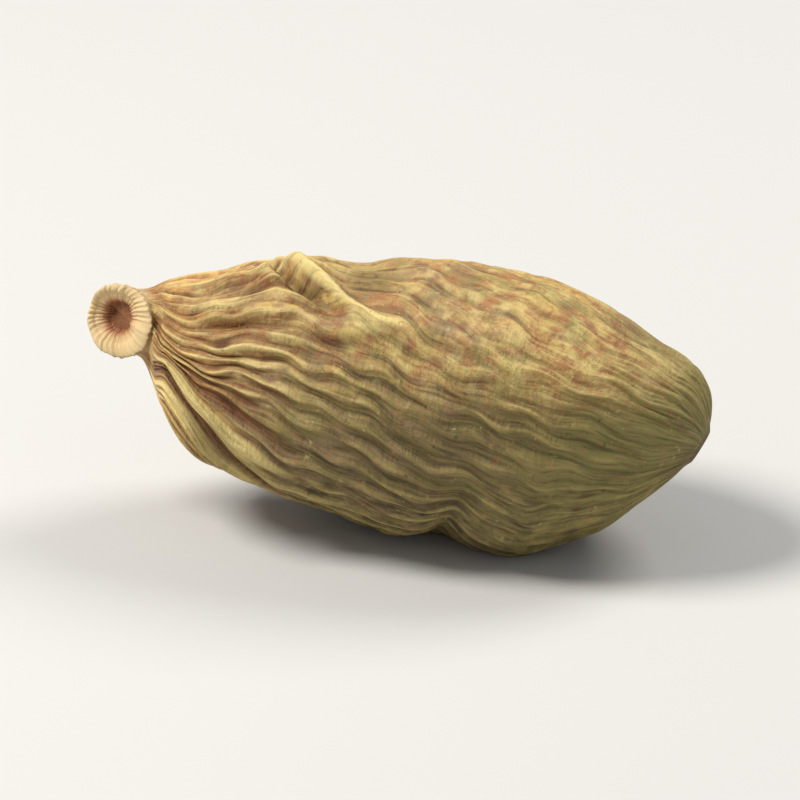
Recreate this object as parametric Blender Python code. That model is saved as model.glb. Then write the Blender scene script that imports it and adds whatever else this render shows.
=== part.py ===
# A dried green cardamom pod lying on its belly, as one closed solid.
# Run with blender --background --python part.py, or from the text editor.
#
# The pod is a closed capsule: a short hollow stub with an open mouth, a steep
# shoulder, a three-sided body under fine lengthwise ribs, and a blunt end with
# the round scar of the stalk. Rings of points stand along a spine, from the
# bottom of the stub's hollow, over its rim and along the skin to the scar.
# +X runs from the stub to the blunt end, and angles round the spine start at
# the top and turn towards -Y.

import math

import bmesh
import bpy
import numpy as np

MM = 0.001

# Driving dimensions
SPINE_LENGTH = 12.42 * MM      # mouth of the stub to the stalk scar
BODY_RADIUS = 2.80 * MM       # mean radius at the belly
MOUTH_RADIUS = 0.76 * MM
RIM_CROWN = 0.05 * MM         # how far the middle of the stub's rim stands out
BORE_RADIUS = 0.33 * MM       # the hollow in the stub, a shallow cup
BORE_DEPTH = 0.20 * MM
BORE_FLARE = 1.60             # how much wider the hollow is at the rim
BORE_FLARE_POWER = 5          # how fast it narrows below the rim
BORE_SHIFT = 0.14 * MM        # its middle lies this far aside at the rim
BORE_SLOPE = 0.42             # and further aside by this for each unit of depth
FLOOR_RING = 0.88             # the wall's lowest ring, as a share of the depth
SCAR_RADIUS = 0.34 * MM
RIB_COUNT = 36
RIB_HEIGHT = 0.075 * MM
FULL_RELIEF = 0.9 * MM        # radius from which the relief has its full height
SPOT_DEPTH = 0.16 * MM        # how much of the belly the resting spot takes off
PITCH = math.radians(4.0)     # the stub end lies higher than the blunt end

# The skin's outline: place along the spine as a share of SPINE_LENGTH, and
# radius as a share of BODY_RADIUS
OUTLINE = [
    (0.000, 0.271),
    (0.015, 0.252),
    (0.034, 0.236),
    (0.052, 0.268),
    (0.080, 0.400),
    (0.126, 0.575),
    (0.190, 0.722),
    (0.280, 0.813),
    (0.380, 0.895),
    (0.490, 0.973),
    (0.610, 1.000),
    (0.720, 0.972),
    (0.820, 0.862),
    (0.900, 0.690),
    (0.950, 0.495),
    (0.980, 0.300),
    (0.994, 0.140),
    (1.000, 0.000),
]

# How far the spine hangs below the stub, at shares of SPINE_LENGTH
SAG = [
    (0.00, 0.00 * MM),
    (0.05, 0.06 * MM),
    (0.10, 0.42 * MM),
    (0.16, 0.72 * MM),
    (0.28, 0.66 * MM),
    (0.50, 0.58 * MM),
    (0.75, 0.62 * MM),
    (0.88, 0.63 * MM),
    (0.95, 0.34 * MM),
    (1.00, 0.14 * MM),
]

# How the spine turns
STUB_BEND = math.radians(58)          # the stub turns out to the side by this
STUB_BEND_LENGTH = 1.30 * MM
STUB_BEND_LIFT = math.radians(14)     # and a little upwards
END_BEND = math.radians(26)           # the blunt end turns down by this
END_BEND_START = 9.0 * MM
MOUTH_SLANT = 0.36                    # the mouth is cut slantwise, rise over run

# The three sides, and how the ribs run
CORNER_HEIGHT = 0.050                 # share of the radius
CORNER_START = math.radians(2)        # angle of the first of the three corners
CORD_HEIGHT = 0.11 * MM               # the corners' cords, by the shoulder
TWIST = math.radians(42)              # slow turn of corners and ribs, from place to place
TWIST_SPAN = (1.5 * MM, 11.0 * MM)
FAN = (0.52, 0.50)                    # how the ribs fan out below the neck, across and round
FAN_ANGLE = math.radians(60)          # the ribs at this angle run straight
FAN_START = 0.3 * MM
FAN_PEAK = 1.4 * MM
FAN_END = 4.1 * MM

# The bold pleats of the fan: angle at their root, width in degrees, and height
PLEATS = {
    "inner": (111, 8, 0.20 * MM),
    "outer": (163, 11, 0.18 * MM),
    "between": (137, 12, -0.17 * MM),
    "above": (95, 7, -0.09 * MM),
}
PLEAT_PLACE = 2.4 * MM
PLEAT_LENGTH = 1.5 * MM
PLEAT_SPAN = (134, 36)                # degrees, where the ribs make way for them
PLEAT_SMOOTHING = 0.85

# Where the ribs are worn or stretched smooth: share that they lose, place along the
# spine, angle in degrees, reach along and round
SMOOTH_SPOTS = [
    (0.60, 9.0 * MM, 8, 2.0 * MM, 32),
    (0.55, 9.6 * MM, 128, 1.6 * MM, 30),
    (0.75, 2.3 * MM, 28, 1.2 * MM, 20),
]

# Bumps and hollows: place along the spine, angle in degrees, reach along and
# round, height, and for a slanting one how its place shifts for each degree
FORMS = {
    "belly": (5.9 * MM, 194, 2.6 * MM, 33, 0.60 * MM, 0.0),
    "lower_lobe": (9.1 * MM, 130, 1.2 * MM, 32, 0.16 * MM, 0.0),
    "fold_shoulder": (3.05 * MM, 8, 0.28 * MM, 14, 0.15 * MM, 0.030 * MM),
    "fold_crest": (4.29 * MM, 17, 0.26 * MM, 20, 0.36 * MM, 0.056 * MM),
    "fold_furrow": (3.80 * MM, 16, 0.22 * MM, 18, -0.38 * MM, 0.052 * MM),
    "top_dip": (4.75 * MM, -14, 0.60 * MM, 24, -0.22 * MM, 0.0),
    "side_ridge": (5.6 * MM, 39, 0.95 * MM, 7, 0.20 * MM, 0.0),
    "side_furrow": (5.1 * MM, 49, 0.80 * MM, 6, -0.20 * MM, 0.050 * MM),
    "neck_streak": (2.3 * MM, 30, 1.0 * MM, 6, 0.21 * MM, 0.0),
    "upper_streak": (2.35 * MM, 9, 0.80 * MM, 6, 0.13 * MM, 0.0),
    "neck_gap": (2.45 * MM, 20, 0.80 * MM, 5, -0.12 * MM, 0.0),
    "neck_furrow": (2.6 * MM, 41, 0.85 * MM, 4, -0.18 * MM, 0.0),
    "lower_streak": (2.7 * MM, 50, 1.0 * MM, 5, 0.10 * MM, 0.0),
    "neck_pit": (0.82 * MM, 57, 0.22 * MM, 15, -0.22 * MM, 0.0),
    "neck_chin": (0.66 * MM, 107, 0.24 * MM, 14, 0.18 * MM, 0.0),
    "side_hollow": (5.4 * MM, 14, 0.70 * MM, 15, -0.22 * MM, 0.0),
    "back_hollow": (7.0 * MM, 292, 2.2 * MM, 18, -0.18 * MM, 0.0),
    "back_fold": (4.6 * MM, 250, 0.34 * MM, 24, -0.16 * MM, 0.018 * MM),
    "end_hollow": (11.0 * MM, 118, 0.7 * MM, 26, -0.10 * MM, 0.0),
    "end_flat": (10.2 * MM, -24, 1.0 * MM, 40, -0.22 * MM, 0.0),
}

# The crease across the lower side, from its middle up to where it runs out
CREASE_PLACE = 7.3 * MM
CREASE_ANGLE = 150                    # degrees, where it is deepest
CREASE_SLANT = -0.0145 * MM           # its place changes by this for each degree
CREASE_WIDTH = 0.42 * MM
CREASE_REACH = (40, 26)               # degrees, up the side and under the belly
CREASE_DEPTH = 0.38 * MM
CREASE_PULL = 0.12                    # the ribs run upwards into it by this angle

# The mesh
COLUMNS_PER_RIB = 3
BORE_ROWS = 4
SKIN_ROWS = [(0, 0.0), (9, 0.10), (44, 0.963), (49, 1.0)]   # row, share of the skin's length

POD_COLOUR = (0.235, 0.185, 0.070, 1.0)


def clear_scene():
    for obj in list(bpy.data.objects):
        bpy.data.objects.remove(obj, do_unlink=True)


def smooth_step(value, start, end):
    share = np.clip((value - start) / (end - start), 0.0, 1.0)
    return share * share * (3.0 - 2.0 * share)


def curve_through(points, steps):
    """A smooth line through the points, with this many steps in each span."""
    points = np.array(points, float)
    ends = (2 * points[0] - points[1], 2 * points[-1] - points[-2])
    padded = np.vstack([ends[0], points, ends[1]])
    share = np.linspace(0.0, 1.0, steps, endpoint=False)[:, None]
    spans = []
    for before, start, end, after in zip(padded, padded[1:], padded[2:], padded[3:]):
        spans.append(
            start
            + 0.5 * share * (end - before)
            + share**2 * (before - 2.5 * start + 2.0 * end - 0.5 * after)
            + share**3 * (1.5 * (start - end) + 0.5 * (after - before))
        )
    return np.vstack([*spans, points[-1:]])


OUTLINE_LINE = curve_through(OUTLINE, 24) * (SPINE_LENGTH, BODY_RADIUS)
SAG_LINE = curve_through(SAG, 24)


def outline_rows():
    """Places along the spine and radii of the skin's rows, closer together at the ends."""
    steps = np.linalg.norm(np.diff(OUTLINE_LINE, axis=0), axis=1)
    travelled = np.concatenate([[0.0], np.cumsum(steps)])
    rows, shares = zip(*SKIN_ROWS)
    wanted = travelled[-1] * np.interp(np.arange(rows[-1] + 1), rows, shares)
    return [np.interp(wanted, travelled, OUTLINE_LINE[:, i]) for i in (0, 1)]


def spine_turns(place):
    stub = STUB_BEND * (1.0 - smooth_step(place, -0.3 * STUB_BEND_LENGTH, STUB_BEND_LENGTH))
    end = END_BEND * np.clip((place - END_BEND_START) / (SPINE_LENGTH - END_BEND_START), 0.0, 1.0)
    return stub, end


def stub_side():
    """The direction the stub turns to."""
    return np.array([0.0, -math.cos(STUB_BEND_LIFT), math.sin(STUB_BEND_LIFT)])


def spine_frame(place):
    """Centre and the up and side directions of the section at this place on the spine."""
    samples = np.linspace(0.0, SPINE_LENGTH, 400)
    stub_turn, end_turn = spine_turns(samples)
    heading = (
        np.outer(np.cos(stub_turn) * np.cos(end_turn), (1.0, 0.0, 0.0))
        - np.outer(np.sin(stub_turn), stub_side())
        - np.outer(np.sin(end_turn), (0.0, 0.0, 1.0))
    )
    line = np.cumsum(heading, axis=0) * samples[1]
    centre = np.array([np.interp(place, samples, line[:, i]) for i in range(3)])
    centre[2] -= np.interp(place / SPINE_LENGTH, SAG_LINE[:, 0], SAG_LINE[:, 1])

    stub_turn, end_turn = spine_turns(place)
    if end_turn > 0:
        up = np.array([math.sin(end_turn), 0.0, math.cos(end_turn)])
        return centre, up, np.array([0.0, -1.0, 0.0])
    across = np.array([0.0, math.sin(STUB_BEND_LIFT), math.cos(STUB_BEND_LIFT)])
    turned = stub_side() * math.cos(stub_turn) + np.array([math.sin(stub_turn), 0.0, 0.0])
    up = across * math.cos(STUB_BEND_LIFT) + turned * math.sin(STUB_BEND_LIFT)
    side = turned * math.cos(STUB_BEND_LIFT) - across * math.sin(STUB_BEND_LIFT)
    return centre, up, side


def rib_angle(place, rooted):
    """Angle of a line on the skin here. rooted is the same all along a rib."""
    length = place / MM
    turn = rooted - FAN_ANGLE
    fan = FAN[0] * np.sin(turn) + FAN[1] * (1.0 - np.cos(turn))
    fan = fan * smooth_step(place, FAN_START, FAN_PEAK) * (1.0 - smooth_step(place, FAN_PEAK, FAN_END))
    sway = (
        0.014 * np.sin(2.7 * length + 1.7 * np.sin(rooted + 0.4))
        + 0.012 * np.sin(6.3 * length + 2.6 * np.sin(rooted + 2.1) + 5.0 * rooted)
        + 0.030 * np.sin(0.9 * length + 1.4 * np.sin(2.0 * rooted))
        + 0.024 * np.sin(6.0 * rooted + 0.8 * length)
        + 0.016 * np.sin(13.0 * rooted - 3.9 * length + 0.6)
    )
    sway = sway * smooth_step(place, 0.4 * MM, 2.0 * MM)
    twist = TWIST * smooth_step(place, *TWIST_SPAN)
    pull = CREASE_PULL * in_crease(place, rooted + twist, 2.0 * CREASE_WIDTH, 2.0)
    return rooted - fan + twist + sway - pull


def soft_spot(place, angle, at, degrees, along, round):
    """1 at a spot on the skin, and falling off smoothly round it."""
    turn = angle - np.radians(degrees)
    turn = np.arctan2(np.sin(turn), np.cos(turn))
    return np.exp(-(((place - at) / along) ** 2) - (turn / math.radians(round)) ** 2)


def rib_height(place, rooted, angle):
    """Height of the ribs' relief, which changes from rib to rib and comes and goes."""
    length = place / MM
    strength = (
        0.74
        + 0.16 * np.sin(14.0 * rooted + 0.55 * length)
        + 0.14 * np.sin(5.0 * rooted - 1.15 * length + 2.0)
        + 0.16 * np.sin(17.0 * rooted + 4.8 * length)
        + 0.13 * np.sin(19.0 * rooted - 3.1 * length + 1.0)
    )
    by_place = np.interp(
        place / SPINE_LENGTH,
        (0.0, 0.05, 0.09, 0.20, 0.40, 0.72, 0.90, 0.97, 1.0),
        (0.10, 0.30, 1.35, 1.50, 0.95, 0.78, 0.52, 0.30, 0.0),
    )
    smooth = 0.0
    for share, at, degrees, along, round in SMOOTH_SPOTS:
        smooth = smooth + share * soft_spot(place, angle, at, degrees, along, round)
    ribs = RIB_HEIGHT * strength * by_place * (1.0 - smooth) * np.cos(RIB_COUNT * rooted)
    pleated = soft_spot(place, rooted, PLEAT_PLACE, PLEAT_SPAN[0], PLEAT_LENGTH, PLEAT_SPAN[1])
    pleats = 0.0
    for degrees, width, height in PLEATS.values():
        pleats = pleats + height * soft_spot(place, rooted, PLEAT_PLACE, degrees, PLEAT_LENGTH, width)
    return ribs * (1.0 - PLEAT_SMOOTHING * pleated) + pleats


def form_height(place, angle):
    total = 0.0
    for at, degrees, along, round, height, slant in FORMS.values():
        turn = np.degrees(angle) - degrees
        middle = at + slant * ((turn + 180.0) % 360.0 - 180.0)
        total = total + height * soft_spot(place, angle, middle, degrees, along, round)
    return total


def in_crease(place, angle, width, power):
    """1 where the crease is deepest, falling off along and round the pod."""
    degrees = np.degrees(angle) % 360
    middle = CREASE_PLACE + CREASE_SLANT * (degrees - CREASE_ANGLE)
    away = np.abs(place - middle) / width
    reach = np.where(degrees < CREASE_ANGLE, *CREASE_REACH)
    reach = np.exp(-(((degrees - CREASE_ANGLE) / reach) ** 2))
    return reach * np.exp(-(away**power))


def corner_height(place, rooted, radius):
    """The three rounded corners of the section, and the cord on each by the shoulder."""
    share = place / SPINE_LENGTH
    fade = smooth_step(share, 0.07, 0.26) * (1.0 - 0.8 * smooth_step(share, 0.80, 1.0))
    turn = 3.0 * (rooted - CORNER_START)
    cord = np.exp(-((np.sin(turn / 2.0) / 0.20) ** 2))
    cord_fade = smooth_step(share, 0.07, 0.14) * (1.0 - smooth_step(share, 0.26, 0.50))
    return radius * CORNER_HEIGHT * fade * np.cos(turn) + CORD_HEIGHT * cord_fade * cord


def lump_height(place, angle):
    """The seeds inside show through as low lumps."""
    length = place / MM
    lumps = np.sin(1.9 * length + 2.0 * np.sin(angle)) * np.sin(2.0 * angle + 0.5 * length)
    ends = smooth_step(place, 1.5 * MM, 3.5 * MM) * (1.0 - smooth_step(place, 9.8 * MM, 11.6 * MM))
    return 0.05 * MM * lumps * ends


def skin_ring(place, radius):
    """The skin's points round the spine at this place."""
    columns = RIB_COUNT * COLUMNS_PER_RIB
    rooted = 2 * math.pi * np.arange(columns) / columns
    angle = rib_angle(place, rooted)

    fullness = min(1.0, radius / FULL_RELIEF) ** 2
    relief = corner_height(place, rooted, radius) + lump_height(place, angle)
    relief = relief + form_height(place, angle)
    relief = relief - CREASE_DEPTH * in_crease(place, angle, CREASE_WIDTH, 1.5)
    relief = relief + rib_height(place, rooted, angle)
    reach = radius + relief * fullness

    centre, up, side = spine_frame(place)
    if place > 0.9 * SPINE_LENGTH:
        centre = centre + scar_height(radius) * np.cross(up, side)
    ring = centre + np.outer(reach * np.cos(angle), up) + np.outer(reach * np.sin(angle), side)
    return slant_mouth(ring, place, angle, reach)


def scar_height(radius):
    """The stalk scar: a low round lip with a sunken middle."""
    lip = 0.050 * MM * math.exp(-(((radius - SCAR_RADIUS) / (0.11 * MM)) ** 2))
    return lip - 0.10 * MM * math.exp(-((radius / (0.2 * MM)) ** 2))


def slant_mouth(ring, place, angle, reach):
    """Cuts the stub's mouth slantwise, with a slightly ragged edge."""
    facing = math.pi / 2 - STUB_BEND_LIFT
    ragged = 0.030 * MM * np.sin(3 * angle + 0.7) + 0.018 * MM * np.sin(7 * angle)
    shift = MOUTH_SLANT * reach * np.cos(angle - facing) + ragged
    stub_turn, _ = spine_turns(place)
    heading = np.array([math.cos(stub_turn), 0.0, 0.0]) - math.sin(stub_turn) * stub_side()
    return ring + np.outer(shift * (1.0 - smooth_step(place, -0.2 * MM, 0.8 * MM)), heading)


def bore_centre(depth):
    """Middle of the hollow at this depth, and the up and side directions there."""
    centre, up, side = spine_frame(max(depth, 0.0))
    aside = BORE_SHIFT + BORE_SLOPE * depth if depth >= 0.0 else 0.5 * BORE_SHIFT
    return centre - aside * side + min(depth, 0.0) * np.cross(up, side), up, side


def bore_rings():
    """The rings of the stub's hollow, from its floor out to the rim."""
    columns = RIB_COUNT * COLUMNS_PER_RIB
    angle = rib_angle(0.0, 2 * math.pi * np.arange(columns) / columns)
    rim_radius = 0.5 * (BORE_RADIUS * BORE_FLARE + MOUTH_RADIUS)
    sizes = [(BORE_DEPTH, 0.6 * BORE_RADIUS)]
    for row in range(BORE_ROWS):
        share = 1.0 - FLOOR_RING * (1.0 - row / (BORE_ROWS - 1))
        flare = 1.0 + (BORE_FLARE - 1.0) * share**BORE_FLARE_POWER
        sizes.append((BORE_DEPTH * (1.0 - share), BORE_RADIUS * flare))
    sizes.append((-RIM_CROWN, rim_radius))
    rings = []
    for depth, radius in sizes:
        centre, up, side = bore_centre(depth)
        ring = centre + radius * (np.outer(np.cos(angle), up) + np.outer(np.sin(angle), side))
        rings.append(slant_mouth(ring, max(depth, 0.0), angle, np.full(columns, radius)))
    return rings


def lay_down(rings, poles):
    """Turns the pod to how it rests, sets its belly's flat spot on the ground and centres it."""
    points = np.vstack([*rings, *poles])
    tilt = np.array(
        [
            [math.cos(PITCH), 0.0, math.sin(PITCH)],
            [0.0, 1.0, 0.0],
            [-math.sin(PITCH), 0.0, math.cos(PITCH)],
        ]
    )
    points = points @ tilt.T
    points[:, 2] = np.maximum(points[:, 2] - points[:, 2].min() - SPOT_DEPTH, 0.0)
    points[:, :2] -= (points[:, :2].min(axis=0) + points[:, :2].max(axis=0)) / 2
    return points


def make_pod():
    rings = bore_rings()
    places, radii = outline_rows()
    for place, radius in zip(places[:-1], radii[:-1]):
        rings.append(skin_ring(place, radius))
    scar_centre, up, side = spine_frame(SPINE_LENGTH)
    scar_centre = scar_centre + scar_height(0.0) * np.cross(up, side)
    points = lay_down(rings, [bore_centre(BORE_DEPTH)[0][None], scar_centre[None]])

    bm = bmesh.new()
    verts = [bm.verts.new(point) for point in points]
    columns = RIB_COUNT * COLUMNS_PER_RIB
    grid = [verts[row * columns : (row + 1) * columns] for row in range(len(rings))]
    for near, far in zip(grid, grid[1:]):
        for i in range(columns):
            j = (i + 1) % columns
            bm.faces.new((near[i], near[j], far[j], far[i]))
    for i in range(columns):
        j = (i + 1) % columns
        bm.faces.new((verts[-2], grid[0][j], grid[0][i]))
        bm.faces.new((verts[-1], grid[-1][i], grid[-1][j]))
    bmesh.ops.recalc_face_normals(bm, faces=bm.faces)

    mesh = bpy.data.meshes.new("cardamom_pod")
    bm.to_mesh(mesh)
    bm.free()
    mesh.shade_smooth()
    mesh.set_sharp_from_angle(angle=math.radians(50))
    pod = bpy.data.objects.new("cardamom_pod", mesh)
    bpy.context.scene.collection.objects.link(pod)
    return pod


def pod_material():
    material = bpy.data.materials.new("dry_husk")
    material.use_nodes = True
    shader = material.node_tree.nodes["Principled BSDF"]
    shader.inputs["Base Color"].default_value = POD_COLOUR
    shader.inputs["Roughness"].default_value = 0.62
    shader.inputs["Metallic"].default_value = 0.0
    return material


clear_scene()
make_pod().data.materials.append(pod_material())
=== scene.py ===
import math

import bpy
import numpy as np
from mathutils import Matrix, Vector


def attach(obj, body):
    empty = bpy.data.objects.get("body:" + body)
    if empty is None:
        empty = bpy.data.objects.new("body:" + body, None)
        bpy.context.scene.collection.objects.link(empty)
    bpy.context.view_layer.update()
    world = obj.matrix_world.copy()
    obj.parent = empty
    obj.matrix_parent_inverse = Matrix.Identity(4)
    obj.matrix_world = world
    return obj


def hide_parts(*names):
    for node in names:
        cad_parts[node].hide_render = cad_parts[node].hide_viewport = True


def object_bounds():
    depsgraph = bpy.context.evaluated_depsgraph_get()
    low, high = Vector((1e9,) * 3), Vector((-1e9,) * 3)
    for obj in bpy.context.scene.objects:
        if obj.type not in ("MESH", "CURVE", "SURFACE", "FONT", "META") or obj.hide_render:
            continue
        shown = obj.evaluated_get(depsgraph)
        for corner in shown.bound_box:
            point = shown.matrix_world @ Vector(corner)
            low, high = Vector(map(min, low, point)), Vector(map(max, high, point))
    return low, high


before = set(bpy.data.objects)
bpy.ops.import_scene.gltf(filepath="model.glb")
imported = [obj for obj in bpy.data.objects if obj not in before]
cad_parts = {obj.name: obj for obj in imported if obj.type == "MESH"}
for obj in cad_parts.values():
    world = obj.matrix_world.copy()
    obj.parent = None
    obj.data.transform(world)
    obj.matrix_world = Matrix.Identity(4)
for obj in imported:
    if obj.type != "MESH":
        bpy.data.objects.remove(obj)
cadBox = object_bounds()
mm = 0.001
print("frame loaded")

# The pod's skin. It starts as a sphere, whose rings are laid along a spine: from the
# floor of the stub's hollow, over its rim, and along the husk to the stalk scar.
# Places are measured along the spine, and angles turn from the top towards -Y.
podShape = {
    "spineLength": 12.42 * mm,
    "bodyRadius": 2.80 * mm,
    "mouthRadius": 0.76 * mm,
    "boreRadius": 0.33 * mm,
    "boreDepth": 0.20 * mm,
    "boreFlare": 1.60,  # how much wider the hollow is at the rim
    "boreFlarePower": 5,
    "boreShift": 0.14 * mm,  # its middle lies this far aside at the rim
    "boreSlope": 0.42,  # and further aside by this for each unit of depth
    "floorRing": 0.88,  # the wall's lowest ring, as a share of the depth
    "floorRounding": (-0.35, 0.12),  # the wall widens to its full width between these shares
    "rimCrown": 0.06 * mm,  # how far the middle of the rim stands out
    "scarRadius": 0.34 * mm,
    "scarLip": dict(height=0.050 * mm, width=0.11 * mm),
    "scarHollow": dict(depth=0.10 * mm, width=0.2 * mm),
    "fullRelief": 0.9 * mm,  # radius from which the relief has its full height
    "spotDepth": 0.16 * mm,  # what the flat spot takes off the belly
    "pitch": math.radians(4.0),
    # place as a share of the spine, radius as a share of the body's
    "outline": [
        (0.000, 0.271), (0.015, 0.252), (0.034, 0.236), (0.052, 0.268), (0.080, 0.400),
        (0.126, 0.575), (0.190, 0.722), (0.280, 0.813), (0.380, 0.895), (0.490, 0.973),
        (0.610, 1.000), (0.720, 0.972), (0.820, 0.862), (0.900, 0.690), (0.950, 0.495),
        (0.980, 0.300), (0.994, 0.140), (1.000, 0.000),
    ],
    # place as a share of the spine, how far the spine hangs below the stub in mm
    "sag": [
        (0.00, 0.00), (0.05, 0.06), (0.10, 0.42), (0.16, 0.72), (0.28, 0.66),
        (0.50, 0.58), (0.75, 0.62), (0.88, 0.63), (0.95, 0.34), (1.00, 0.14),
    ],
    "stubBend": math.radians(58),
    "stubBendLength": 1.30 * mm,
    "stubBendLift": math.radians(14),
    "endBend": math.radians(26),
    "endBendStart": 9.0 * mm,
    "mouthSlant": 0.36,
    "mouthSlantFades": (-0.2 * mm, 0.8 * mm),
    # the waves of the rim's ragged edge, in mm
    "mouthRagged": [dict(size=0.030, around=3, start=0.7), dict(size=0.018, around=7)],
    "cornerHeight": 0.050,  # share of the radius
    "cornerStart": math.radians(2),
    "cornerGrows": (0.07, 0.26),  # these and the next spans are shares of the spine
    "cornerFades": (0.80, 1.0),
    "cornerLoss": 0.8,
    "cordHeight": 0.11 * mm,
    "cordWidth": 0.20,  # as the sine of a turn
    "cordGrows": (0.07, 0.14),
    "cordFades": (0.26, 0.50),
    "lumpHeight": 0.05 * mm,
    "lumps": dict(around=2, slant=0.5, along=1.9, bend=2.0),
    "lumpsGrow": (1.5, 3.5),  # in mm along the spine
    "lumpsFade": (9.8, 11.6),
    # the ribs' slow turn round the pod, and their fan at the neck
    "twist": math.radians(42),
    "twistStart": 1.5 * mm,
    "twistEnd": 11.0 * mm,
    "fan": (0.52, 0.50),
    "fanAngle": math.radians(60),
    "fanStart": 0.3 * mm,
    "fanPeak": 1.4 * mm,
    "fanEnd": 4.1 * mm,
    # the waves in which the ribs sway, in radians
    "sway": [
        dict(size=0.014, along=2.7, bend=1.7, bendStart=0.4),
        dict(size=0.012, around=5, along=6.3, bend=2.6, bendStart=2.1),
        dict(size=0.030, along=0.9, bend=1.4, bends=2),
        dict(size=0.024, around=6, along=0.8),
        dict(size=0.016, around=13, along=-3.9, start=0.6),
    ],
    "swayGrows": (0.4 * mm, 2.0 * mm),
    "columns": 360,
    # row number and share of the skin's length
    "rows": [(0, 0.0), (42, 0.10), (222, 0.963), (248, 1.0)],
    "boreRows": 20,
    "rimRows": 8,
}

ribbing = {
    "count": 36,
    "height": 0.075 * mm,
    "sharpness": 1.4,
    # place as a share of the spine, how strong the ribs are there
    "strength": [
        (0.00, 0.10), (0.05, 0.30), (0.09, 1.35), (0.20, 1.50), (0.40, 0.95),
        (0.72, 0.78), (0.90, 0.52), (0.97, 0.30), (1.00, 0.00),
    ],
    # the waves in which the ribs' height changes, round its middle value
    "middle": 0.74,
    "uneven": [
        dict(size=0.16, around=14, along=0.55),
        dict(size=0.14, around=5, along=-1.15, start=2.0),
        dict(size=0.16, around=17, along=4.8),
        dict(size=0.13, around=19, along=-3.1, start=1.0),
    ],
    "striae": 108,
    "striaHeight": 0.012 * mm,
    "striaSway": 2.0,
    "crinkleHeight": 0.016 * mm,
    "crinkles": dict(waves=28, around=(12, 60), along=(-9, 9), seed=11),
    "rimFibreHeight": 0.014 * mm,
    "rimFibres": dict(waves=12, around=(8, 40), along=(-2, 2), seed=5),
}

# The bold pleats below the neck: angle at their root and width in degrees, height in mm
pleats = {
    "inner": dict(rooted=111, width=8, height=0.20),
    "outer": dict(rooted=163, width=11, height=0.18),
    "between": dict(rooted=137, width=12, height=-0.17),
    "above": dict(rooted=95, width=7, height=-0.09),
}
pleatReach = {"at": 2.4, "along": 1.5, "rooted": 134, "around": 36, "smoothing": 0.85}

# Where the ribs are worn or stretched smooth, and the share that they lose there
smoothSpots = [
    dict(at=9.0, angle=8, along=2.0, around=32, share=0.60),
    dict(at=9.6, angle=128, along=1.6, around=30, share=0.55),
    dict(at=2.3, angle=28, along=1.2, around=20, share=0.75),
]

# Bumps and hollows: place and reach along in mm, angle and reach round in degrees,
# height in mm, and how the place shifts for each degree
podForms = {
    "belly": dict(at=5.9, angle=194, along=2.6, around=33, height=0.60),
    "lowerLobe": dict(at=9.1, angle=130, along=1.2, around=32, height=0.16),
    "foldShoulder": dict(at=3.05, angle=8, along=0.28, around=14, height=0.15, slant=0.030),
    "foldCrest": dict(at=4.29, angle=17, along=0.26, around=20, height=0.36, slant=0.056),
    "foldFurrow": dict(at=3.80, angle=16, along=0.22, around=18, height=-0.38, slant=0.052),
    "topDip": dict(at=4.75, angle=-14, along=0.60, around=24, height=-0.22),
    "sideRidge": dict(at=5.6, angle=39, along=0.95, around=7, height=0.20),
    "sideFurrow": dict(at=5.1, angle=49, along=0.80, around=6, height=-0.20, slant=0.050),
    "neckStreak": dict(at=2.3, angle=30, along=1.0, around=6, height=0.21),
    "upperStreak": dict(at=2.35, angle=9, along=0.80, around=6, height=0.13),
    "neckGap": dict(at=2.45, angle=20, along=0.80, around=5, height=-0.12),
    "neckFurrow": dict(at=2.6, angle=41, along=0.85, around=4, height=-0.18),
    "lowerStreak": dict(at=2.7, angle=50, along=1.0, around=5, height=0.10),
    "neckPit": dict(at=0.82, angle=57, along=0.22, around=15, height=-0.22),
    "neckChin": dict(at=0.66, angle=107, along=0.24, around=14, height=0.18),
    "sideHollow": dict(at=5.4, angle=14, along=0.70, around=15, height=-0.22),
    "backHollow": dict(at=7.0, angle=292, along=2.2, around=18, height=-0.18),
    "backFold": dict(at=4.6, angle=250, along=0.34, around=24, height=-0.16, slant=0.018),
    "endHollow": dict(at=11.0, angle=118, along=0.7, around=26, height=-0.10),
    "endFlat": dict(at=10.2, angle=-24, along=1.0, around=40, height=-0.22),
}

crease = {
    "place": 7.3 * mm,
    "angle": 150,
    "slant": -0.0145 * mm,  # its place changes by this for each degree
    "width": 0.42 * mm,
    "reachUp": 40,
    "reachUnder": 26,
    "depth": 0.38 * mm,
    "pull": 0.12,  # how far it draws the ribs round, in radians
    "pullWidth": 0.84 * mm,
}


def smoothStep(value, start, end):
    share = np.clip((value - start) / (end - start), 0.0, 1.0)
    return share * share * (3.0 - 2.0 * share)


# a smooth line through the points, with this many steps in each span
def curveThrough(points, steps):
    points = np.array(points, float)
    before = np.vstack([2 * points[0] - points[1], points[:-2]])
    after = np.vstack([points[2:], 2 * points[-1] - points[-2]])
    share = np.linspace(0.0, 1.0, steps, endpoint=False)[:, None]
    spans = []
    for a, b, c, d in zip(before, points[:-1], points[1:], after):
        spans.append(
            b
            + 0.5 * share * (c - a)
            + share**2 * (a - 2.5 * b + 2.0 * c - 0.5 * d)
            + share**3 * (1.5 * (b - c) + 0.5 * (d - a))
        )
    return np.vstack([*spans, points[-1:]])


def spineTurns(place):
    length = podShape["stubBendLength"]
    stub = podShape["stubBend"] * (1.0 - smoothStep(place, -0.3 * length, length))
    start = podShape["endBendStart"]
    share = (place - start) / (podShape["spineLength"] - start)
    return stub, podShape["endBend"] * np.clip(share, 0.0, 1.0)


# the direction the stub turns to
def stubSide():
    lift = podShape["stubBendLift"]
    return np.array([0.0, -math.cos(lift), math.sin(lift)])


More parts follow.
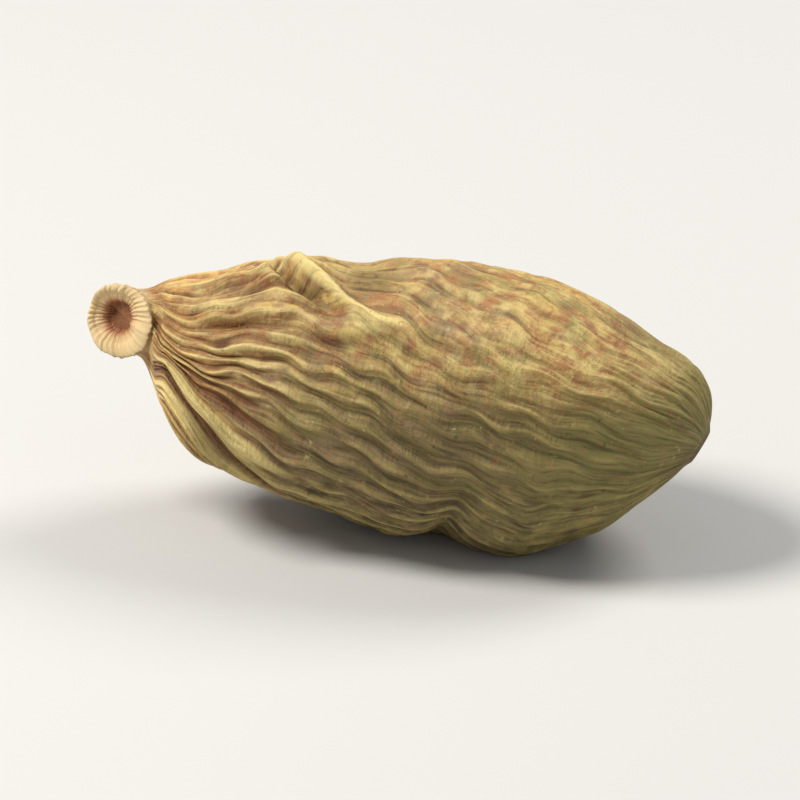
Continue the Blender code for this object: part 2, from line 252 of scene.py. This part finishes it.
def spineHeading(place):
    stub, end = spineTurns(place)
    return (
        np.multiply.outer(np.cos(stub) * np.cos(end), (1.0, 0.0, 0.0))
        - np.multiply.outer(np.sin(stub), stubSide())
        - np.multiply.outer(np.sin(end), (0.0, 0.0, 1.0))
    )


# the sections' centres, and their up and side directions
def spineFrames(places):
    samples = np.linspace(0.0, podShape["spineLength"], 400)
    line = np.cumsum(spineHeading(samples), axis=0) * samples[1]
    centres = np.column_stack([np.interp(places, samples, line[:, i]) for i in range(3)])
    sag = curveThrough(podShape["sag"], 24)
    centres[:, 2] -= np.interp(places / podShape["spineLength"], sag[:, 0], sag[:, 1] * mm)

    lift = podShape["stubBendLift"]
    stub, end = spineTurns(places)
    across = np.array([0.0, math.sin(lift), math.cos(lift)])
    turned = np.multiply.outer(np.cos(stub), stubSide())
    turned = turned + np.multiply.outer(np.sin(stub), (1.0, 0.0, 0.0))
    stubUp = across * math.cos(lift) + turned * math.sin(lift)
    stubSideways = turned * math.cos(lift) - across * math.sin(lift)
    endUp = np.column_stack([np.sin(end), 0 * end, np.cos(end)])
    atEnd = (end > 0)[:, None]
    up = np.where(atEnd, endUp, stubUp)
    side = np.where(atEnd, (0.0, -1.0, 0.0), stubSideways)
    return centres, up, side


# 1 at a spot on the skin, and falling off smoothly round it
def softSpot(place, angle, at, degrees, along, around):
    turn = angle - np.radians(degrees)
    turn = np.arctan2(np.sin(turn), np.cos(turn))
    return np.exp(-(((place - at) / along) ** 2) - (turn / math.radians(around)) ** 2)


# 1 where the crease is deepest, falling off along and round the pod
def inCrease(place, angle, width, power):
    degrees = np.degrees(angle) % 360
    middle = crease["place"] + crease["slant"] * (degrees - crease["angle"])
    reach = np.where(degrees < crease["angle"], crease["reachUp"], crease["reachUnder"])
    fade = np.exp(-(((degrees - crease["angle"]) / reach) ** 2))
    return fade * np.exp(-((np.abs(place - middle) / width) ** power))


# a sum of waves over the skin. Each has a size, a number that go round the pod, a turn
# along each mm and a start, and may bend to and fro as it goes round
def addWaves(waves, length, rooted):
    total = 0.0
    for wave in waves:
        turn = wave.get("around", 0) * rooted + wave.get("along", 0.0) * length
        bent = np.sin(wave.get("bends", 1) * rooted + wave.get("bendStart", 0.0))
        turn = turn + wave.get("start", 0.0) + wave.get("bend", 0.0) * bent
        total = total + wave["size"] * np.sin(turn)
    return total


# the angle of a line on the skin here. rooted is the same all along a rib
def ribAngle(place, rooted):
    across, round_ = podShape["fan"]
    turn = rooted - podShape["fanAngle"]
    fan = across * np.sin(turn) + round_ * (1.0 - np.cos(turn))
    fan = fan * smoothStep(place, podShape["fanStart"], podShape["fanPeak"])
    fan = fan * (1.0 - smoothStep(place, podShape["fanPeak"], podShape["fanEnd"]))
    sway = addWaves(podShape["sway"], place / mm, rooted)
    sway = sway * smoothStep(place, *podShape["swayGrows"])
    twist = podShape["twist"] * smoothStep(place, podShape["twistStart"], podShape["twistEnd"])
    pull = crease["pull"] * inCrease(place, rooted + twist, crease["pullWidth"], power=2.0)
    return rooted - fan + twist + sway - pull


# the ribs' relief, which changes from rib to rib and comes and goes
def ribHeight(place, rooted, angle):
    length = place / mm
    uneven = ribbing["middle"] + addWaves(ribbing["uneven"], length, rooted)
    shares, strengths = zip(*ribbing["strength"])
    byPlace = np.interp(place / podShape["spineLength"], shares, strengths)
    left = 1.0
    for worn in smoothSpots:
        spot = softSpot(length, angle, worn["at"], worn["angle"], worn["along"], worn["around"])
        left = left - worn["share"] * spot
    wave = 0.5 + 0.5 * np.cos(ribbing["count"] * rooted)
    ribs = ribbing["height"] * (1.6 * wave ** ribbing["sharpness"] - 0.6)
    ribs = ribs * uneven * byPlace * left
    at, along = pleatReach["at"], pleatReach["along"]
    pleated = softSpot(length, rooted, at, pleatReach["rooted"], along, pleatReach["around"])
    folds = 0.0
    for pleat in pleats.values():
        fold = softSpot(length, rooted, at, pleat["rooted"], along, pleat["width"])
        folds = folds + pleat["height"] * mm * fold
    return ribs * (1.0 - pleatReach["smoothing"] * pleated) + folds


# the three rounded corners of the section, and the cord on each by the shoulder
def cornerHeight(place, rooted, radius):
    share = place / podShape["spineLength"]
    turn = 3.0 * (rooted - podShape["cornerStart"])
    corners = radius * podShape["cornerHeight"] * np.cos(turn)
    corners = corners * smoothStep(share, *podShape["cornerGrows"])
    lost = podShape["cornerLoss"] * smoothStep(share, *podShape["cornerFades"])
    cords = podShape["cordHeight"] * np.exp(-((np.sin(turn / 2.0) / podShape["cordWidth"]) ** 2))
    cords = cords * smoothStep(share, *podShape["cordGrows"])
    return corners * (1.0 - lost) + cords * (1.0 - smoothStep(share, *podShape["cordFades"]))


# the bumps and hollows, and the low lumps of the seeds inside
def formHeight(place, angle):
    length = place / mm
    total = 0.0
    for form in podForms.values():
        turn = np.degrees(angle) - form["angle"]
        middle = form["at"] + form.get("slant", 0.0) * ((turn + 180.0) % 360.0 - 180.0)
        spot = softSpot(length, angle, middle, form["angle"], form["along"], form["around"])
        total = total + form["height"] * mm * spot
    lump = podShape["lumps"]
    lumps = np.sin(lump["along"] * length + lump["bend"] * np.sin(angle))
    lumps = lumps * np.sin(lump["around"] * angle + lump["slant"] * length)
    lumps = lumps * smoothStep(length, *podShape["lumpsGrow"])
    lumps = lumps * (1.0 - smoothStep(length, *podShape["lumpsFade"]))
    return total + podShape["lumpHeight"] * lumps


# uneven wrinkles between about -1 and 1: many crossed waves with seeded turns
def crinkles(place, rooted, waves, around, along, seed):
    random = np.random.default_rng(seed)
    total = 0.0
    for _ in range(waves):
        turns = random.integers(*around)
        pace = random.uniform(*along)
        shift, bend = random.uniform(0, 2 * math.pi, 2)
        wave = turns * rooted + pace * place / mm + shift + np.sin(3 * rooted + bend)
        total = total + np.sin(wave)
    return total / math.sqrt(waves)


# the stalk scar: a low round lip with a sunken middle
def scarHeight(radius):
    lip, hollow = podShape["scarLip"], podShape["scarHollow"]
    raised = lip["height"] * np.exp(-(((radius - podShape["scarRadius"]) / lip["width"]) ** 2))
    return raised - hollow["depth"] * np.exp(-((radius / hollow["width"]) ** 2))


# cuts the stub's mouth slantwise, with a slightly ragged edge
def slantMouth(points, place, angle, reach):
    facing = math.pi / 2 - podShape["stubBendLift"]
    ragged = mm * addWaves(podShape["mouthRagged"], 0.0, angle)
    shift = podShape["mouthSlant"] * reach * np.cos(angle - facing) + ragged
    shift = shift * (1.0 - smoothStep(place, *podShape["mouthSlantFades"]))
    return points + shift[..., None] * spineHeading(place[:, 0])[:, None, :]


# points of rings round the spine, moved along its heading by lift and sideways by aside
def layRings(place, radius, angle, lift, aside=0.0):
    centres, up, side = spineFrames(place[:, 0])
    centres = centres - aside * side
    heading = np.cross(up, side)
    reach = np.broadcast_to(radius, angle.shape)
    points = centres[:, None, :] + lift[..., None] * heading[:, None, :]
    points = points + (reach * np.cos(angle))[..., None] * up[:, None, :]
    points = points + (reach * np.sin(angle))[..., None] * side[:, None, :]
    return slantMouth(points, place, angle, reach)


# the outside of the pod, from the stub's rim to the scar, and its relief
def skinRings(rooted):
    outline = curveThrough(podShape["outline"], 24)
    outline = outline * (podShape["spineLength"], podShape["bodyRadius"])
    steps = np.linalg.norm(np.diff(outline, axis=0), axis=1)
    travelled = np.concatenate([[0.0], np.cumsum(steps)])
    rowNumbers, shares = zip(*podShape["rows"])
    wanted = travelled[-1] * np.interp(np.arange(rowNumbers[-1]), rowNumbers, shares)
    place = np.interp(wanted, travelled, outline[:, 0])[:, None]
    radius = np.interp(wanted, travelled, outline[:, 1])[:, None]

    angle = ribAngle(place, rooted)
    fullness = np.minimum(1.0, radius / podShape["fullRelief"]) ** 2
    ribs = ribHeight(place, rooted, angle)
    forms = formHeight(place, angle)
    forms = forms - crease["depth"] * inCrease(place, angle, crease["width"], power=1.5)
    striae = np.cos(ribbing["striae"] * rooted + ribbing["striaSway"] * np.sin(place / mm))
    rough = crinkles(place, rooted, **ribbing["crinkles"])
    fine = ribbing["striaHeight"] * striae + ribbing["crinkleHeight"] * rough
    relief = cornerHeight(place, rooted, radius) + forms + ribs + fine
    byTheScar = place > 0.9 * podShape["spineLength"]
    lift = np.broadcast_to(np.where(byTheScar, scarHeight(radius), 0.0), angle.shape)
    points = layRings(place, radius + relief * fullness, angle, lift)
    marks = {
        "crest": (ribs + fine) * fullness / mm,
        "hollow": np.minimum(forms, 0.0) * fullness / mm,
        "rise": np.maximum(forms, 0.0) * fullness / mm,
        "place": np.broadcast_to(place / mm, angle.shape),
    }
    return points, marks


# the stub's hollow, from its floor to the rim
def boreRings(rooted):
    depth, radius = podShape["boreDepth"], podShape["boreRadius"]
    share = np.linspace(0.0, 1.0, podShape["boreRows"])
    wall = depth * (1.0 - share) * podShape["floorRing"]
    flare = (podShape["boreFlare"] - 1.0) * (1.0 - wall / depth) ** podShape["boreFlarePower"]
    wide = radius * (1.0 + flare) * smoothStep(share, *podShape["floorRounding"])
    turn = np.linspace(0.0, math.pi, podShape["rimRows"] + 2)[1:-1]
    inner, outer = radius * podShape["boreFlare"], podShape["mouthRadius"]
    rimRadius = 0.5 * (inner + outer) - 0.5 * (outer - inner) * np.cos(turn)
    place = np.concatenate([wall, 0.0 * turn])[:, None]
    reach = np.concatenate([wide, rimRadius])[:, None]
    lift = np.concatenate([0.0 * wall, -podShape["rimCrown"] * np.sin(turn)])[:, None]
    angle = np.broadcast_to(ribAngle(np.zeros((1, 1)), rooted), (len(place), rooted.shape[1]))
    fibres = ribbing["rimFibreHeight"] * crinkles(place, rooted, **ribbing["rimFibres"])
    shift = podShape["boreShift"]
    rimShift = shift * (1.0 - smoothStep(turn, 0.0, math.pi))
    aside = np.concatenate([shift + podShape["boreSlope"] * wall, rimShift])[:, None]
    points = layRings(place, reach + fibres, angle, lift + fibres, aside)
    marks = {
        "crest": fibres / mm,
        "hollow": np.broadcast_to(-place / mm, angle.shape),
        "rise": np.zeros(angle.shape),
        "place": np.broadcast_to(-1.0 - place / mm, angle.shape),
    }
    return points, marks


# lays the pod as it rests, with the flat spot on the ground, over the frame's footprint
def layDown(points):
    pitch = podShape["pitch"]
    tilt = np.array([
        [math.cos(pitch), 0.0, math.sin(pitch)],
        [0.0, 1.0, 0.0],
        [-math.sin(pitch), 0.0, math.cos(pitch)],
    ])
    points = points @ tilt.T
    points[:, 2] = np.maximum(points[:, 2] - points[:, 2].min() - podShape["spotDepth"], 0.0)
    framed = np.array(cadBox)[:, :2].mean(axis=0)
    points[:, :2] += framed - (points[:, :2].min(axis=0) + points[:, :2].max(axis=0)) / 2
    return points


def makePod():
    columns = podShape["columns"]
    rooted = 2 * math.pi * np.arange(columns)[None, :] / columns
    borePoints, boreMarks = boreRings(rooted)
    skinPoints, skinMarks = skinRings(rooted)
    rings = np.concatenate([borePoints, skinPoints])
    ringCount = len(rings)

    bpy.ops.object.select_all(action="DESELECT")
    bpy.ops.mesh.primitive_uv_sphere_add(segments=columns, ring_count=ringCount + 1, radius=1.0)
    skin = bpy.context.object
    skin.name = "podSkin"
    mesh = skin.data
    places = np.empty(len(mesh.vertices) * 3)
    mesh.vertices.foreach_get("co", places)
    places = places.reshape(-1, 3)

    # each vertex of the sphere is named by its height and its turn
    row = np.arccos(np.clip(places[:, 2], -1, 1)) / math.pi * (ringCount + 1)
    row = np.round(row).astype(int)
    column = np.arctan2(places[:, 1], places[:, 0]) / (2 * math.pi) * columns
    column = np.round(column).astype(int) % columns
    depth = podShape["boreDepth"]
    centre, up, side = spineFrames(np.array([depth]))
    floorCentre = centre - (podShape["boreShift"] + podShape["boreSlope"] * depth) * side
    centre, up, side = spineFrames(np.array([podShape["spineLength"]]))
    scarCentre = centre + scarHeight(0.0) * np.cross(up, side)
    inner = (row > 0) & (row <= ringCount)
    newPlaces = np.where((row == 0)[:, None], floorCentre, scarCentre)
    newPlaces[inner] = rings[row[inner] - 1, column[inner]]
    newPlaces = layDown(newPlaces)
    mesh.vertices.foreach_set("co", newPlaces.ravel())

    for name in skinMarks:
        values = np.concatenate([boreMarks[name], skinMarks[name]])
        flat = np.zeros(len(places))
        flat[inner] = values[row[inner] - 1, column[inner]]
        flat[row == 0] = values[0].mean()
        flat[row > ringCount] = values[-1].mean()
        mark = mesh.attributes.new(name, "FLOAT", "POINT")
        mark.data.foreach_set("value", flat)

    # a space in which the grain follows the ribs
    turn = rooted[0][column]
    placed = np.concatenate([boreMarks["place"], skinMarks["place"]])
    along = np.full(len(places), placed[0, 0])
    along[inner] = placed[row[inner] - 1, column[inner]]
    along[row > ringCount] = placed[-1, 0]
    wide = podShape["bodyRadius"] / mm
    grain = np.column_stack([wide * np.cos(turn), wide * np.sin(turn), along])
    mark = mesh.attributes.new("grain", "FLOAT_VECTOR", "POINT")
    mark.data.foreach_set("vector", grain.ravel())

    bpy.ops.object.mode_set(mode="EDIT")
    bpy.ops.mesh.select_all(action="SELECT")
    bpy.ops.mesh.normals_make_consistent(inside=False)
    bpy.ops.object.mode_set(mode="OBJECT")
    bpy.ops.object.shade_smooth()
    return skin


# a colour as a picture shows it, 0 to 255, turned to what a shader takes
def fromScreen(red, green, blue):
    shares = [c / 255.0 for c in (red, green, blue)]
    return (*[c / 12.92 if c <= 0.04045 else ((c + 0.055) / 1.055) ** 2.4 for c in shares], 1.0)


# joins a socket, or sets a plain value
def feed(tree, socket, value):
    if isinstance(value, bpy.types.NodeSocket):
        tree.links.new(value, socket)
    else:
        socket.default_value = value


def addNode(tree, kind, inputs=None, **settings):
    node = tree.nodes.new(kind)
    for name, value in settings.items():
        setattr(node, name, value)
    for name, value in (inputs or {}).items():
        feed(tree, node.inputs[name], value)
    return node


# lays one colour over another, as far as the factor says
def mixColours(tree, factor, under, over):
    node = addNode(tree, "ShaderNodeMix", data_type="RGBA", clamp_factor=True)
    feed(tree, node.inputs["Factor"], factor)
    feed(tree, node.inputs[6], under)
    feed(tree, node.inputs[7], over)
    return node.outputs[2]


def calculate(tree, operation, first, second=0.0):
    node = addNode(tree, "ShaderNodeMath", operation=operation)
    feed(tree, node.inputs[0], first)
    feed(tree, node.inputs[1], second)
    return node.outputs[0]


def multiply(tree, *values):
    total = values[0]
    for value in values[1:]:
        total = calculate(tree, "MULTIPLY", total, value)
    return total


# 0 on one side of low and 1 on the other side of high, smooth between them
def ramp(tree, value, low, high):
    inputs = {"Value": value, "From Min": low, "From Max": high}
    return addNode(tree, "ShaderNodeMapRange", inputs, interpolation_type="SMOOTHSTEP").outputs[0]


# a space in which patterns are squeezed or drawn out along each axis
def stretch(tree, vector, amounts):
    node = addNode(tree, "ShaderNodeVectorMath", operation="MULTIPLY")
    feed(tree, node.inputs[0], vector)
    feed(tree, node.inputs[1], amounts)
    return node.outputs[0]


def noise(tree, vector, scale, detail, roughness):
    inputs = {"Vector": vector, "Scale": scale, "Detail": detail, "Roughness": roughness}
    return addNode(tree, "ShaderNodeTexNoise", inputs).outputs[0]


def makeGroup(name, inputs, outputs):
    group = bpy.data.node_groups.new(name, "ShaderNodeTree")
    for socketName, kind in inputs:
        group.interface.new_socket(socketName, in_out="INPUT", socket_type="NodeSocket" + kind)
    for socketName in outputs:
        group.interface.new_socket(socketName, in_out="OUTPUT", socket_type="NodeSocketFloat")
    given = group.nodes.new("NodeGroupInput").outputs
    results = group.nodes.new("NodeGroupOutput").inputs
    return group, given, results


# soft-edged patches: 1 inside a patch and 0 outside
def makePatchGroup():
    inputs = [("Vector", "Vector")]
    inputs += [(name, "Float") for name in ("Scale", "Low", "High", "Shift")]
    group, given, results = makeGroup("patches", inputs, ["Mask"])
    settings = {"Vector": given["Vector"], "Scale": given["Scale"], "W": given["Shift"]}
    cloud = addNode(group, "ShaderNodeTexNoise", settings, noise_dimensions="4D")
    cloud.inputs["Detail"].default_value = 4.0
    cloud.inputs["Roughness"].default_value = 0.62
    feed(group, results["Mask"], ramp(group, cloud.outputs[0], given["Low"], given["High"]))
    return group


# husk fibres that run along the ribs, with crepe wrinkles across them and fine grain
def makeFibreGroup():
    group, given, results = makeGroup("huskFibres", [("Vector", "Vector")], ["Streaks", "Height"])
    along = stretch(group, given["Vector"], (1.0, 1.0, 0.10))
    across = stretch(group, given["Vector"], (0.50, 0.50, 1.6))
    fibres = noise(group, along, scale=9.0, detail=4.0, roughness=0.7)
    crepe = noise(group, across, scale=4.2, detail=4.0, roughness=0.65)
    grain = noise(group, given["Vector"], scale=13.0, detail=2.0, roughness=0.6)
    height = calculate(group, "ADD", multiply(group, fibres, 0.50), multiply(group, crepe, 0.85))
    height = calculate(group, "ADD", height, multiply(group, grain, 0.30))
    feed(group, results["Streaks"], ramp(group, fibres, 0.36, 0.66))
    feed(group, results["Height"], height)
    return group


patchGroup = makePatchGroup()
fibreGroup = makeFibreGroup()


def addPatches(tree, vector, scale, low, high, shift):
    node = tree.nodes.new("ShaderNodeGroup")
    node.node_tree = patchGroup
    inputs = {"Vector": vector, "Scale": scale, "Low": low, "High": high, "Shift": shift}
    for name, value in inputs.items():
        feed(tree, node.inputs[name], value)
    return node.outputs["Mask"]


huskFinish = {
    "olive": fromScreen(132, 117, 64),
    "darkOliveAndShade": fromScreen(92, 82, 44),
    "green": fromScreen(132, 126, 66),
    "goldTopLight": fromScreen(208, 172, 100),
    "tan": fromScreen(228, 166, 102),
    "plum": fromScreen(98, 76, 56),
    "russet": fromScreen(160, 96, 58),
    "mauve": fromScreen(138, 108, 86),
    "strawAndHighlight": fromScreen(202, 178, 106),
    "paleHighlight": fromScreen(236, 214, 142),
    "darkBrownAndShade": fromScreen(62, 48, 27),
    "umberAndShade": fromScreen(122, 68, 38),
    "speck": fromScreen(58, 40, 26),
    "fleck": fromScreen(210, 190, 124),
    "rim": fromScreen(242, 214, 160),
    "hollow": fromScreen(196, 134, 92),
    "hollowFloorAndShade": fromScreen(170, 114, 76),
    "scar": fromScreen(112, 84, 54),
    "roughCrest": 0.50,
    "roughFurrow": 0.76,
    "specular": 0.4,
    "bump": 0.060 * mm,
}


def makeHuskMaterial():
    material = bpy.data.materials.new("driedHusk")
    material.use_nodes = True
    tree = material.node_tree
    shader = tree.nodes["Principled BSDF"]
    marks = {}
    for name in ("crest", "hollow", "rise", "place"):
        marks[name] = addNode(tree, "ShaderNodeAttribute", attribute_name=name).outputs["Fac"]
    crest, hollow, rise, place = marks.values()
    grain = addNode(tree, "ShaderNodeAttribute", attribute_name="grain").outputs["Vector"]
    objectSpace = addNode(tree, "ShaderNodeTexCoord").outputs["Object"]
    spot = stretch(tree, objectSpace, (1 / mm, 1 / mm, 1 / mm))
    height = addNode(tree, "ShaderNodeSeparateXYZ", {0: spot}).outputs["Z"]
    longGrain = stretch(tree, grain, (1.0, 1.0, 0.45))
    # parts of the pod, by place along the spine and by height above the ground, in mm
    neck = ramp(tree, place, 5.0, 2.8)
    beforeEnd = ramp(tree, place, 10.5, 7.0)
    # the height masks set where painted shade falls below and where painted highlights lie on top
    under = ramp(tree, height, 3.0, 1.4)
    above = ramp(tree, height, 3.3, 4.4)
    shadedLowerBody = multiply(tree, ramp(tree, height, 5.0, 3.4), ramp(tree, place, 4.5, 7.0))

    fibres = tree.nodes.new("ShaderNodeGroup")
    fibres.node_tree = fibreGroup
    feed(tree, fibres.inputs["Vector"], grain)
    streaks = fibres.outputs["Streaks"]

    colour = huskFinish["olive"]

    # lays a named colour over what is there; the last factor is the most that it covers
    def lay(name, *factors):
        nonlocal colour
        colour = mixColours(tree, multiply(tree, *factors), colour, huskFinish[name])

    def fade(value, low, high):
        return ramp(tree, value, low, high)

    # the numbers are the patches' scale, the span that softens their edges, and a shift
    def patches(vector, scale, low, high, shift):
        return addPatches(tree, vector, scale, low, high, shift)

    # broad colour: olive, darker below as painted shade, greener towards the blunt end,
    # golden on top as a painted top light, and tan at the neck
    lay("darkOliveAndShade", patches(spot, 0.6, 0.40, 0.62, 0.0), 0.7)
    lay("darkOliveAndShade", fade(height, 3.9, 1.0), 0.72)
    lay("darkOliveAndShade", shadedLowerBody, 0.45)
    lay("green", fade(place, 6.0, 11.0), patches(spot, 0.7, 0.30, 0.55, 2.0), 0.8)
    lay("goldTopLight", fade(height, 3.2, 5.4), patches(spot, 0.9, 0.28, 0.56, 4.0), 0.85)
    lay("tan", fade(place, 4.4, 1.2), patches(spot, 1.1, 0.18, 0.50, 7.0), 0.90)

    # mottling that follows the ribs, and freckles, most of them on top, with pale patches
    # on the neck's top and on top that are painted highlights
    lay("plum", patches(longGrain, 1.1, 0.46, 0.62, 11.0), beforeEnd, 0.7)
    lay("russet", patches(spot, 2.6, 0.46, 0.59, 15.0), fade(height, 3.5, 5.0), 0.85)
    lay("mauve", patches(longGrain, 3.4, 0.46, 0.62, 27.0), beforeEnd, 0.55)
    lay("umberAndShade", patches(longGrain, 2.4, 0.48, 0.62, 45.0), neck, 0.60)
    lay("paleHighlight", patches(longGrain, 2.8, 0.50, 0.64, 47.0), neck, above, 0.70)
    lay("paleHighlight", patches(spot, 2.6, 0.46, 0.66, 31.0), fade(height, 3.4, 4.8), 0.42)
    lay("russet", patches(spot, 5.0, 0.56, 0.64, 17.0), 0.45)

    # straw crests, pale where they stand out most, as painted highlights on the crests, and dark
    # furrows and hollows as painted shade
    lay("strawAndHighlight", fade(crest, 0.005, 0.065), patches(longGrain, 1.6, 0.30, 0.62, 3.0), 0.52)
    lay("paleHighlight", fade(crest, 0.060, 0.13), fade(place, 12.0, 6.0), 0.38)
    lay("paleHighlight", fade(crest, 0.030, 0.09), neck, 0.65)
    lay("darkBrownAndShade", fade(crest, 0.005, -0.045), fade(place, 15.0, 6.0), 0.50)
    lay("umberAndShade", fade(crest, -0.005, -0.060), neck, 0.75)
    lay("darkBrownAndShade", fade(hollow, -0.06, -0.28), 0.55)
    lay("umberAndShade", fade(hollow, -0.03, -0.14), neck, 0.50)
    # below, painted highlights on the crests and painted shade in the furrows, then dark and
    # straw patches
    lay("strawAndHighlight", fade(crest, 0.010, 0.060), under, 0.35)
    lay("darkBrownAndShade", fade(crest, 0.0, -0.040), under, 0.35)
    lay("darkBrownAndShade", patches(spot, 3.0, 0.44, 0.62, 41.0), under, 0.35)
    lay("strawAndHighlight", patches(spot, 3.4, 0.48, 0.64, 43.0), under, 0.25)
    # painted highlights on the risen folds on top
    folded = patches(longGrain, 2.2, 0.26, 0.52, 49.0)
    lay("paleHighlight", fade(rise, 0.06, 0.24), above, folded, 0.80)
    # painted shade over the lower body
    lay("darkOliveAndShade", shadedLowerBody, 0.22)

    # fibres, and the finest spots
    lay("strawAndHighlight", streaks, 0.20)
    lay("darkBrownAndShade", fade(streaks, 0.42, 0.0), 0.30)
    lay("fleck", patches(spot, 5.0, 0.62, 0.70, 21.0), 0.45)
    lay("speck", patches(spot, 6.0, 0.62, 0.70, 24.0), 0.50)

    # the stub's pale rim and red-brown hollow, darker towards its floor partly as painted
    # shade, and the scar of the stalk
    lay("rim", fade(place, 0.70, 0.12), 0.85)
    lay("hollow", fade(place, -1.00, -1.08), 0.85)
    lay("hollowFloorAndShade", fade(place, -1.06, -1.18), 0.90)
    lay("scar", fade(place, 12.28, 12.38), 0.8)
    feed(tree, shader.inputs["Base Color"], colour)

    # crests are a little shinier than furrows
    span = {
        "Value": calculate(tree, "ADD", crest, multiply(tree, streaks, 0.05)),
        "From Min": -0.05,
        "From Max": 0.12,
        "To Min": huskFinish["roughFurrow"],
        "To Max": huskFinish["roughCrest"],
    }
    feed(tree, shader.inputs["Roughness"], addNode(tree, "ShaderNodeMapRange", span).outputs[0])
    shader.inputs["Specular IOR Level"].default_value = huskFinish["specular"]
    relief = {"Height": fibres.outputs["Height"], "Distance": huskFinish["bump"]}
    bump = addNode(tree, "ShaderNodeBump", relief)
    feed(tree, shader.inputs["Normal"], bump.outputs[0])
    return material


podSkin = makePod()
podSkin.data.materials.append(makeHuskMaterial())
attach(podSkin, "root")
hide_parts("cardamom_pod")
print("pod made with", len(podSkin.data.polygons), "faces")

# a pale floor, and lights and a camera that stand round the pod. Directions are an
# azimuth, which turns from -Y towards +X, and an elevation, in degrees
studio = {
    "floorWidth": 1.2,
    "floorColour": (0.60, 0.59, 0.57, 1.0),
    "floorRoughness": 0.8,
    "floorSpecular": 0.2,
    "skyColour": (0.92, 0.94, 1.0, 1.0),
    "skyStrength": 0.30,
    "aim": (0.0, 0.0, 2.75 * mm),
    "view": (12, 25),
    "viewDistance": 0.30,
    "viewWidth": 16.4 * mm,
    "sensorWidth": 36.0,
}

lights = {
    "keyLight": dict(at=(-72, 55), away=0.12, size=0.05, power=0.155, colour=(1.0, 0.975, 0.93)),
    "fillLight": dict(at=(55, 28), away=0.14, size=0.10, power=0.014, colour=(0.95, 0.97, 1.0)),
    "backLight": dict(at=(135, 48), away=0.14, size=0.07, power=0.112, colour=(1.0, 0.99, 0.96)),
}


def makeFloor():
    bpy.ops.object.select_all(action="DESELECT")
    bpy.ops.mesh.primitive_plane_add(size=studio["floorWidth"], location=(0, 0, 0))
    floor = bpy.context.object
    floor.name = "studioFloor"
    material = bpy.data.materials.new("paleFloor")
    material.use_nodes = True
    shader = material.node_tree.nodes["Principled BSDF"]
    shader.inputs["Base Color"].default_value = studio["floorColour"]
    shader.inputs["Roughness"].default_value = studio["floorRoughness"]
    shader.inputs["Specular IOR Level"].default_value = studio["floorSpecular"]
    floor.data.materials.append(material)


# where a light or the camera stands, and how it turns to face the pod
def standAround(direction, distance):
    azimuth, elevation = (math.radians(angle) for angle in direction)
    away = (
        math.sin(azimuth) * math.cos(elevation),
        -math.cos(azimuth) * math.cos(elevation),
        math.sin(elevation),
    )
    place = [middle + distance * share for middle, share in zip(studio["aim"], away)]
    return {"location": place, "rotation": (math.pi / 2 - elevation, 0, azimuth)}


def makeLights():
    for name, values in lights.items():
        bpy.ops.object.light_add(type="AREA", **standAround(values["at"], values["away"]))
        light = bpy.context.object
        light.name = name
        light.data.shape = "DISK"
        light.data.size = values["size"]
        light.data.energy = values["power"]
        light.data.color = values["colour"]
    world = bpy.context.scene.world or bpy.data.worlds.new("studioWorld")
    bpy.context.scene.world = world
    world.use_nodes = True
    background = world.node_tree.nodes["Background"]
    background.inputs["Color"].default_value = studio["skyColour"]
    background.inputs["Strength"].default_value = studio["skyStrength"]
    bpy.context.scene.view_settings.view_transform = "Standard"


def makeCamera():
    bpy.ops.object.camera_add(**standAround(studio["view"], studio["viewDistance"]))
    camera = bpy.context.object
    camera.data.sensor_width = studio["sensorWidth"]
    camera.data.lens = studio["sensorWidth"] * studio["viewDistance"] / studio["viewWidth"]
    camera.data.clip_start = 0.01
    camera.data.clip_end = 10.0
    bpy.context.scene.camera = camera


makeFloor()
makeLights()
makeCamera()
print("studio made")
